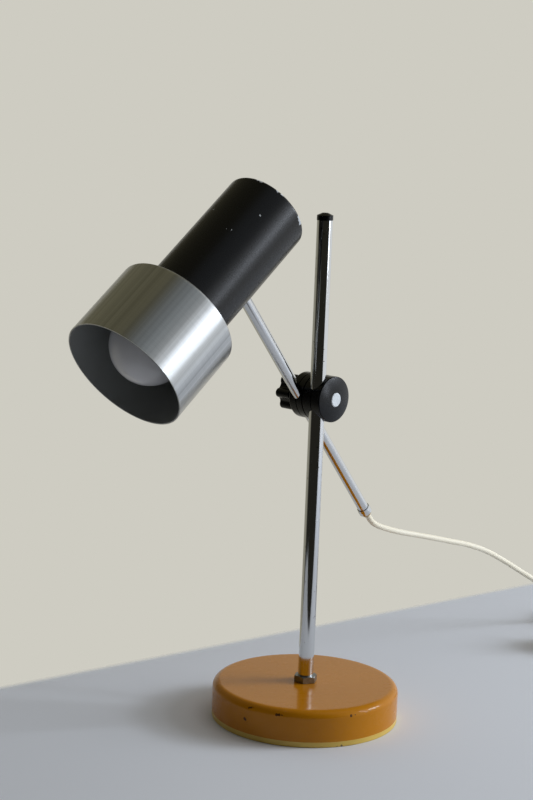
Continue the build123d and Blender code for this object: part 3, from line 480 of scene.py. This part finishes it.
stem_scratches = [
    (-1.2, -6.2, 311.9, 0.7),
    (-0.8, -6.3, 310.4, 0.5),
    (-0.2, -6.3, 138.5, 0.6),
    (6.1, -1.8, 166.5, 0.8),
    (6.0, -2.1, 164.9, 0.5),
]
stem_chrome = plated("pitted_chrome", 0.6, stem_scratches)
black_phenolic = phenolic("black_phenolic", "#040506", "#0A0B0F", 0.22)
dress(stem_chrome, "stem_tube")
dress(black_phenolic, "stem_cap")

# Zinc-plated steel: dull, with a soft spangle.
zinc, tree, shader, coords = new_look("zinc_plate")
spangle = add_node(tree, "ShaderNodeTexVoronoi", {"Vector": coords, "Scale": grain(3.3)})
grey = add_node(
    tree,
    "ShaderNodeMix",
    {"Factor": spangle.outputs["Distance"], 6: linear("#A9ABAA"), 7: linear("#8D908F")},
    data_type="RGBA",
)
set_inputs(tree, shader, {"Base Color": grey.outputs[2], "Metallic": 1, "Roughness": 0.42})
dress(zinc, "stem_lock_nut", "stem_spigot", "stem_washer", "stem_nut")


# Cross clamp. Two pairs of moulded phenolic discs on one bolt: the domed pair grips the stem, the
# other grips the arm, and the lobed knob draws them together. A fibre washer parts the pairs.
dress(black_phenolic, "stem_clamp_outer", "stem_clamp_inner", "arm_clamp_inner", "arm_clamp_outer")
dress(black_phenolic, "clamp_knob")
dress(fibre, "friction_washer")
dress(zinc, "pressure_washer")

# Die-cast alloy, tumbled: pale and matt. The tumbling's marks are too fine to show, so they are
# drawn coarser.
cast_alloy, tree, shader, coords = new_look("tumbled_alloy")
pale, _ = mottle(tree, coords, 1.1, 5, "#C3C7C9", "#DCE0E2")
set_inputs(tree, shader, {"Base Color": pale, "Metallic": 0.85, "Roughness": 0.55})
dress(cast_alloy, "clamp_bolt")

# Turned brass: warm and fairly bright, clouded by tarnish.
brass, tree, shader, coords = new_look("turned_brass")
gold, _ = mottle(tree, coords, 11, 5, "#9C7C3E", "#C7A35A")
set_inputs(tree, shader, {"Base Color": gold, "Metallic": 1, "Roughness": 0.3})
dress(brass, "knob_insert")


# Arm. A chromed tube through the clamp, with a pressed ferrule and a rubber bush at the end where
# the cord leaves, and a nipple, washer and nut at the head.
arm_chrome = plated("bright_chrome", 0.72)
dress(arm_chrome, "arm_tube", "arm_ferrule")
dress(brass, "head_nipple")
dress(zinc, "head_washer", "head_nut")

# Aged rubber, moulded: tan and dull, with a bloom.
rubber, tree, shader, coords = new_look("aged_rubber")
tan, _ = mottle(tree, coords, 2.5, 4, "#A5895F", "#C0A67C")
set_inputs(tree, shader, {"Base Color": tan, "Roughness": 0.6})
dress(rubber, "cord_bush")


# Cord. A round cream PVC flex, 5 mm thick. It leaves the arm straight, falls behind the lamp to the
# table, and its spare length is wound in a small coil beside the plug. Sizes are in millimetres.
cord_radius = 2.5
fall = [
    (-15.6, 89.31, 153.62),
    (-15.6, 94.42, 147.47),
    (-15.6, 101.4, 142.6),
    (-15.7, 115.5, 137.2),
    (-16, 135, 130.9),
    (-16, 156, 125.4),
    (-15.6, 180, 118.9),
    (-15.2, 206, 111.5),
    (-16, 236, 103.3),
    (-16.2, 266, 92.7),
    (-15.4, 297, 77.2),
    (-15.6, 329, 59.9),
    (-14.6, 357, 45),
    (-13, 381, 18),
    (-12, 402, 2.6),
]
lead = [(57.9, 405, 20.6), (58.6, 381, 7.8), (58.6, 362, 7.8)]
coil_x, coil_y = 22.95, 424
outer_radius, inner_radius = 34.95, 25.05
lowest = cord_radius + 0.1
layer_height = 6.0
layers = 4
wound_turns, climb_turns = 1.5, 0.5
layer_turns = wound_turns + climb_turns
coil_turns = layers * layer_turns - climb_turns
points_per_turn = 16

# The coil is wound inwards and outwards by turns, layer on layer, and climbs in between. Its
# points stand a little outside its line, because the curve cuts their corners.
coil = []
for step in range(int(coil_turns * points_per_turn) + 1):
    turns = step / points_per_turn
    layer = int(turns / layer_turns)
    along = turns - layer * layer_turns
    wound = min(along / wound_turns, 1)
    climb = max(along - wound_turns, 0) / climb_turns
    inwards = wound if layer % 2 == 0 else 1 - wound
    radius = outer_radius + (inner_radius - outer_radius) * inwards
    radius /= cos(pi / points_per_turn)
    angle = pi - 2 * pi * turns
    height = lowest + layer_height * (layer + (1 - cos(pi * climb)) / 2)
    coil.append((coil_x + radius * cos(angle), coil_y + radius * sin(angle), height))

points = fall + coil + lead
cord_curve = bpy.data.curves.new("cord", "CURVE")
cord_curve.dimensions = "3D"
cord_curve.bevel_depth = cord_radius / 1000
cord_curve.bevel_resolution = 6
cord_curve.use_fill_caps = True
spline = cord_curve.splines.new("NURBS")
spline.points.add(len(points) - 1)
for point, (x, y, z) in zip(spline.points, points):
    point.co = (x / 1000, y / 1000, z / 1000, 1)
spline.order_u = 3
spline.use_endpoint_u = True
spline.resolution_u = 12
cord = bpy.data.objects.new("cord", cord_curve)
scene.collection.objects.link(cord)

# PVC, extruded smooth and aged cream: a soft sheen.
pvc, tree, shader, coords = new_look("cream_pvc")
cream, _ = mottle(tree, coords, 33, 5, "#F3E9CE", "#F9F3E1")
set_inputs(tree, shader, {"Base Color": cream, "Roughness": 0.4})
cord.data.materials.append(pvc)
dress(pvc, "arm_flex", "head_leads")
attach(cord, "arm")
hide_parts("power_cord", "cord_coil", "plug_lead")


# Plug. Two moulded urea halves, screwed together over three flat brass pins. It lies on the table
# beside the coil.
dress(brass, "plug_pins")

# Compression-moulded urea: hard and off-white, with a faint flow mottle and a soft gloss.
urea, tree, shader, coords = new_look("white_urea")
ivory, flow = mottle(tree, coords, 12, 6, "#DCD7C8", "#EAE6DA")
gloss = add_node(tree, "ShaderNodeMapRange", {"Value": flow, "To Min": 0.26, "To Max": 0.42})
set_inputs(tree, shader, {"Base Color": ivory, "Roughness": gloss.outputs["Result"]})
dress(urea, "plug_cover", "plug_base")


# Head. A spun steel can in satin black, closed behind, with a spun aluminium collar riveted on its
# mouth. The collar is brushed round its axis outside and dark inside.
mouth = (-0.0156, -0.19845, 0.30147)
head_lean = radians(52.1)
head_axis = (0, sin(head_lean), cos(head_lean))

# Sprayed nitrocellulose paint: satin black and a little dusty, chipped bright at the rear edge.
paint, tree, shader, coords = new_look("satin_black_paint")
black, dust = mottle(tree, coords, 6.5, 8, "#070708", "#101011", breakup=0.75)
barrel_chips = [
    (-6.3, -73.1, 440.9, 1.2),
    (-4.4, -72.6, 440.4, 1.0),
    (-2.6, -72.6, 439.7, 1.2),
    (0.3, -71.2, 439.1, 0.8),
    (9.6, -66.6, 433.6, 1.7),
    (11.2, -65.6, 432.2, 1.0),
    (12.3, -64.9, 430.8, 1.3),
    (18.6, -51.6, 413.5, 1.9),
    (18.4, -50.6, 411.4, 1.8),
    (18.1, -49.6, 409.5, 1.8),
    (16.8, -45.6, 406.2, 1.0),
    (10.9, -87.5, 415.5, 0.8),
    (1.1, -113.1, 405.9, 0.5),
    (-22.0, -103.7, 417.9, 0.6),
    (4.0, -110.8, 405.4, 0.5),
    (-47.0, -60.0, 432.0, 1.3),
    (-46.0, -42.0, 409.0, 1.1),
]
chipped = chip_mask(tree, coords, barrel_chips, 3)
colour = add_node(
    tree, "ShaderNodeMix", {"Factor": chipped, 6: black, 7: linear("#B9BDBF")}, data_type="RGBA"
)
rough = add_node(tree, "ShaderNodeMapRange", {"Value": dust, "To Min": 0.24, "To Max": 0.31})
set_inputs(
    tree,
    shader,
    {
        "Base Color": colour.outputs[2],
        "Roughness": rough.outputs["Result"],
        "Specular IOR Level": 0.29,
    },
)
dress(paint, "barrel")

# Spun aluminium, brushed on the lathe and lacquered: fine rings, so the light draws out along the
# axis, with painted reflection streaks along it. The inside has dark grey paint, drawn lighter as
# painted light for the light bounced into the shade. In local, Z is the depth from the mouth.
aluminium, tree, shader, coords = new_look("brushed_aluminium")
local = add_node(
    tree,
    "ShaderNodeMapping",
    {"Vector": coords, "Location": mouth, "Rotation": (-head_lean, 0, 0)},
    vector_type="TEXTURE",
).outputs[0]

# The rings are noise, squeezed across the axis until its marks run all the way round. They are
# told apart by depth and radius together, so they cross the collar's back too. The real ones are
# too fine to show, so they are drawn coarser.
squeeze = 0.012
flat = add_node(tree, "ShaderNodeVectorMath", {0: local, 1: (1, 1, 0)}, operation="MULTIPLY")
radius = add_node(tree, "ShaderNodeVectorMath", {0: flat.outputs[0]}, operation="LENGTH")
depth = add_node(tree, "ShaderNodeSeparateXYZ", {0: local}).outputs["Z"]
run = add_node(tree, "ShaderNodeMath", {0: depth, 1: radius.outputs["Value"]}, operation="ADD")
ring_place = add_node(tree, "ShaderNodeCombineXYZ", {"X": run.outputs[0]})
stretched = add_node(
    tree,
    "ShaderNodeVectorMath",
    {0: local, 1: (squeeze, squeeze, 0), 2: ring_place.outputs[0]},
    operation="MULTIPLY_ADD",
)
rings = add_node(
    tree,
    "ShaderNodeTexNoise",
    {"Vector": stretched.outputs[0], "Scale": grain(0.65), "Detail": 4, "Roughness": 0.7},
)
silver = add_node(
    tree,
    "ShaderNodeMix",
    {"Factor": rings.outputs["Fac"], 6: linear("#B9BBBB"), 7: linear("#D6D7D7")},
    data_type="RGBA",
)

# Painted reflection: light and dark streaks along the axis, multiplied into the colour, stand for
# the room reflected in the brushing. They depend on the angle round the axis, and are some 7 mm
# wide on the collar's 49 mm radius.
collar_radius, streak_width = 49, 7
outwards = add_node(tree, "ShaderNodeVectorMath", {0: flat.outputs[0]}, operation="NORMALIZE")
painted_reflection_streaks = add_node(
    tree,
    "ShaderNodeTexNoise",
    {
        "Vector": outwards.outputs[0],
        "Scale": collar_radius / streak_width,
        "Detail": 4,
        "Roughness": 0.6,
    },
)
reflection_streak_brightness = add_node(
    tree,
    "ShaderNodeMapRange",
    {
        "Value": painted_reflection_streaks.outputs["Fac"],
        "From Min": 0.3,
        "From Max": 0.7,
        "To Min": 0.66,
        "To Max": 1.2,
    },
)
# The painted reflection streaks darken and lighten the silver colour.
silver_with_painted_reflection = add_node(
    tree,
    "ShaderNodeMix",
    {"Factor": 1.0, 6: silver.outputs[2], 7: reflection_streak_brightness.outputs["Result"]},
    data_type="RGBA",
    blend_type="MULTIPLY",
)

# The painted inside: nearer the axis than the middle of the collar's wall, and before its neck. Its
# mid grey is lighter than the real dark grey paint, as painted light for the light bounced into the
# shade.
wall_middle, neck_depth = 0.0494, 0.0669
within = add_node(
    tree, "ShaderNodeMath", {0: radius.outputs["Value"], 1: wall_middle}, operation="LESS_THAN"
)
before = add_node(tree, "ShaderNodeMath", {0: depth, 1: neck_depth}, operation="LESS_THAN")
painted = add_node(
    tree, "ShaderNodeMath", {0: within.outputs[0], 1: before.outputs[0]}, operation="MULTIPLY"
).outputs[0]
# The inside's mid grey is painted light: lighter than its dark grey paint.
colour = add_node(
    tree,
    "ShaderNodeMix",
    {"Factor": painted, 6: silver_with_painted_reflection.outputs[2], 7: linear("#828483")},
    data_type="RGBA",
)
bare = add_node(tree, "ShaderNodeMath", {0: 1.0, 1: painted}, operation="SUBTRACT")
brushed = add_node(
    tree, "ShaderNodeMapRange", {"Value": rings.outputs["Fac"], "To Min": 0.28, "To Max": 0.4}
)
rough = add_node(
    tree, "ShaderNodeMix", {"Factor": painted, 2: brushed.outputs["Result"], 3: 0.62}
)
bump = add_node(
    tree, "ShaderNodeBump", {"Height": rings.outputs["Fac"], "Distance": 0.00002, "Strength": 0.5}
)

# The brushing runs round the axis, which turns the gloss along it.
centred = add_node(tree, "ShaderNodeVectorMath", {0: coords, 1: mouth}, operation="SUBTRACT")
around = add_node(
    tree, "ShaderNodeVectorMath", {0: head_axis, 1: centred.outputs[0]}, operation="CROSS_PRODUCT"
)
tangent = add_node(
    tree,
    "ShaderNodeVectorTransform",
    {0: around.outputs[0]},
    vector_type="VECTOR",
    convert_from="OBJECT",
    convert_to="WORLD",
)
set_inputs(
    tree,
    shader,
    {
        "Base Color": colour.outputs[2],
        "Metallic": bare.outputs[0],
        "Roughness": rough.outputs[0],
        "Normal": bump.outputs[0],
        "Tangent": tangent.outputs[0],
        "Anisotropic": 0.75,
        "Anisotropic Rotation": 0.25,
    },
)
dress(aluminium, "collar")

# Drawn aluminium: bright and fairly smooth, with a faint grey mottle.
soft_metal, tree, shader, coords = new_look("drawn_aluminium")
pale, _ = mottle(tree, coords, 3.3, 4, "#C4C5C4", "#DCDDDC")
set_inputs(tree, shader, {"Base Color": pale, "Metallic": 1, "Roughness": 0.3})
dress(soft_metal, "collar_rivets")
dress(zinc, "head_saddle")


# Lampholder. A bayonet shell and its contacts in brass, in a body of white phenolic with a
# screwed ring. A nipple and a nut hold it on a zinc-plated bracket in the barrel.
white_phenolic = phenolic("white_phenolic", "#CFCABF", "#DEDAD0", 0.4)
dress(zinc, "holder_bracket", "holder_nut")
dress(brass, "holder_nipple", "holder_shell", "holder_contacts")
dress(white_phenolic, "holder_body", "holder_ring")


# Bulb. A blown glass envelope with an aluminium bayonet cap cemented on its neck. It stands in
# the lampholder and faces the shade's mouth.
dress(soft_metal, "bulb_cap")

# Opal glass, blown: smooth and milky, with a faint random mottle. Its grey, darker than clean opal,
# is painted shade for the dim inside of the shade.
opal, tree, shader, coords = new_look("opal_glass")
milky_with_painted_shade, _ = mottle(tree, coords, 16, 6, "#BAB9BB", "#C9C8CA")
set_inputs(tree, shader, {"Base Color": milky_with_painted_shade, "Roughness": 0.22})
dress(opal, "bulb_glass")


# Switch. A push button through the closed end of the barrel. Its body and button are moulded
# phenolic, and a chromed ring nut holds it.
dress(black_phenolic, "switch_body", "switch_button")
dress(arm_chrome, "switch_ring")
